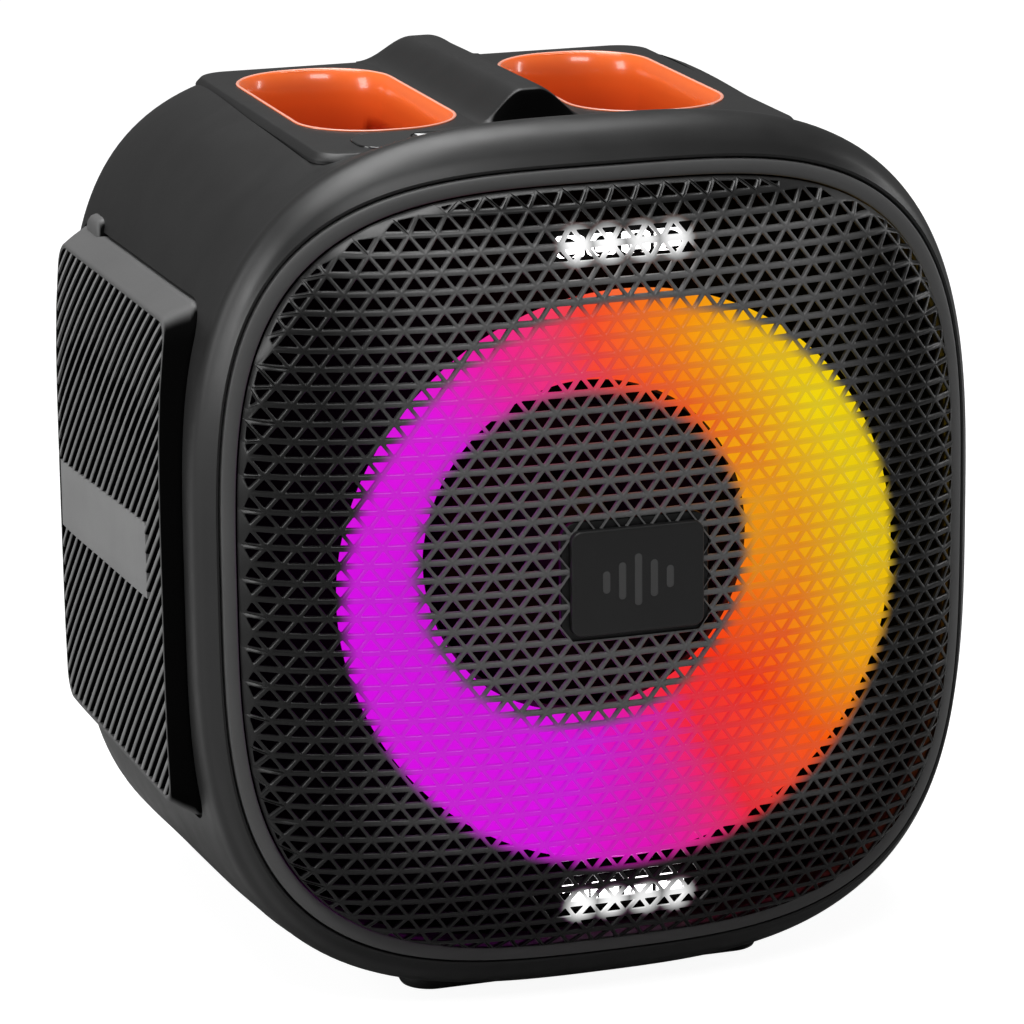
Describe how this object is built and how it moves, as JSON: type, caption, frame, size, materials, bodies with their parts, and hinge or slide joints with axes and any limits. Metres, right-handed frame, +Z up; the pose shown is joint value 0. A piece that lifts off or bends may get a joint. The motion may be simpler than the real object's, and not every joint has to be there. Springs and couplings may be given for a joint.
{
  "type": "portable party speaker",
  "caption": "Rounded-square portable speaker with a domed grille, a light ring around the driver, a top carry handle between two hand pockets and ribbed side covers",
  "frame": {"origin": "middle of the bounding box at the table the two rubber feet stand on", "axes": "-Y is the grille side, +Y is the rear ports, +X is the right side as seen by somebody facing the grille, +Z is up through the handle"},
  "size_m": [0.228, 0.1922, 0.2394],
  "materials": {
    "shell": "satin",
    "trim": "satin",
    "grille": "satin powder coat",
    "badge": "satin",
    "emblem": "satin",
    "handle_liner": "glossy",
    "handle_steel": "plain",
    "gloss_black": "glossy",
    "circuit_board": "plain",
    "side_cover": "soft matt",
    "dark_plastic": "plain",
    "soft_rubber": "plain",
    "radiator_plate": "satin",
    "foot_rubber": "plain",
    "door_rubber": "plain",
    "black_screw": "black oxide",
    "bright_screw": "plain",
    "socket_plastic": "plain",
    "socket_metal": "plain",
    "gasket": "plain",
    "basket": "powder coat",
    "magnet_steel": "plated",
    "ferrite": "plain",
    "copper": "wound wire",
    "spider": "woven",
    "cone": "plain",
    "dust_cap": "satin",
    "frosted": "frosted",
    "white_board": "solder mask",
    "light_chip": "lens",
    "cell_wrap": "film",
    "lead": "plain"
  },
  "bodies": {
    "housing": {"cabinet": "shell", "cabinet_crown": "shell", "rear_cover": "shell", "rear_gasket": "soft_rubber", "case_screws": "black_screw", "trim_ring": "trim", "grille": "grille", "badge": "badge", "badge_emblem": "emblem", "top_panel": "shell", "handle_ridge": "shell", "pocket_liner_left": "handle_liner", "pocket_liner_right": "handle_liner", "tunnel_liner": "handle_liner", "handle_beam": "shell", "handle_core": "handle_steel", "control_strip": "gloss_black", "key_board": "circuit_board", "side_cover_left": "side_cover", "side_cover_right": "side_cover", "radiator_frames": "dark_plastic", "radiator_surround_left": "soft_rubber", "radiator_surround_right": "soft_rubber", "front_foot": "foot_rubber", "rear_foot": "foot_rubber", "port_bay": "dark_plastic", "door_pin": "bright_screw", "mic_socket": "socket_plastic", "aux_socket": "socket_plastic", "usb_c_socket": "socket_metal", "usb_a_socket": "socket_metal", "baffle": "dark_plastic", "driver_gasket": "gasket", "driver_basket": "basket", "driver_top_plate": "magnet_steel", "driver_magnet": "ferrite", "driver_pole": "magnet_steel", "spider": "spider", "cone_surround": "soft_rubber", "driver_screws": "bright_screw", "light_frame": "dark_plastic", "light_funnel": "frosted", "light_board": "white_board", "ring_lights": "light_chip", "strobe_boards": "white_board", "amp_board": "circuit_board", "battery_tray": "dark_plastic", "battery_cells": "cell_wrap", "driver_lead": "lead"},
    "light_key": {"light_key": "gloss_black"},
    "volume_down_key": {"volume_down_key": "gloss_black"},
    "play_key": {"play_key": "gloss_black"},
    "volume_up_key": {"volume_up_key": "gloss_black"},
    "power_key": {"power_key": "gloss_black"},
    "cone_assembly": {"cone": "cone", "dust_cap": "dust_cap", "voice_coil": "copper"},
    "radiator_left": {"radiator_plate_left": "radiator_plate"},
    "radiator_right": {"radiator_plate_right": "radiator_plate"},
    "port_flap": {"port_door": "door_rubber"}
  },
  "joints": [
    {"name": "light_key_press", "type": "slide", "parent": "housing", "child": "light_key", "axis": [0, 0, -1], "range_m": [0, 0.0008], "stiffness_N_per_m": 300},
    {"name": "volume_down_key_press", "type": "slide", "parent": "housing", "child": "volume_down_key", "axis": [0, 0, -1], "range_m": [0, 0.0008], "stiffness_N_per_m": 300},
    {"name": "play_key_press", "type": "slide", "parent": "housing", "child": "play_key", "axis": [0, 0, -1], "range_m": [0, 0.0008], "stiffness_N_per_m": 300},
    {"name": "volume_up_key_press", "type": "slide", "parent": "housing", "child": "volume_up_key", "axis": [0, 0, -1], "range_m": [0, 0.0008], "stiffness_N_per_m": 300},
    {"name": "power_key_press", "type": "slide", "parent": "housing", "child": "power_key", "axis": [0, 0, -1], "range_m": [0, 0.0008], "stiffness_N_per_m": 300},
    {"name": "cone_travel", "type": "slide", "parent": "housing", "child": "cone_assembly", "axis": [0, -1, 0], "range_m": [-0.0025, 0.0025], "stiffness_N_per_m": 1500, "deforming": ["cone_surround", "spider"]},
    {"name": "radiator_left_travel", "type": "slide", "parent": "housing", "child": "radiator_left", "axis": [-1, 0, 0], "range_m": [-0.003, 0.003], "stiffness_N_per_m": 1500, "deforming": ["radiator_surround_left"]},
    {"name": "radiator_right_travel", "type": "slide", "parent": "housing", "child": "radiator_right", "axis": [1, 0, 0], "range_m": [-0.003, 0.003], "stiffness_N_per_m": 1500, "deforming": ["radiator_surround_right"]},
    {"name": "port_flap_hinge", "type": "hinge", "parent": "housing", "child": "port_flap", "pos_m": [0, 0.09415, 0.0728], "axis": [1, 0, 0], "range_deg": [0, 90]}
  ]
}
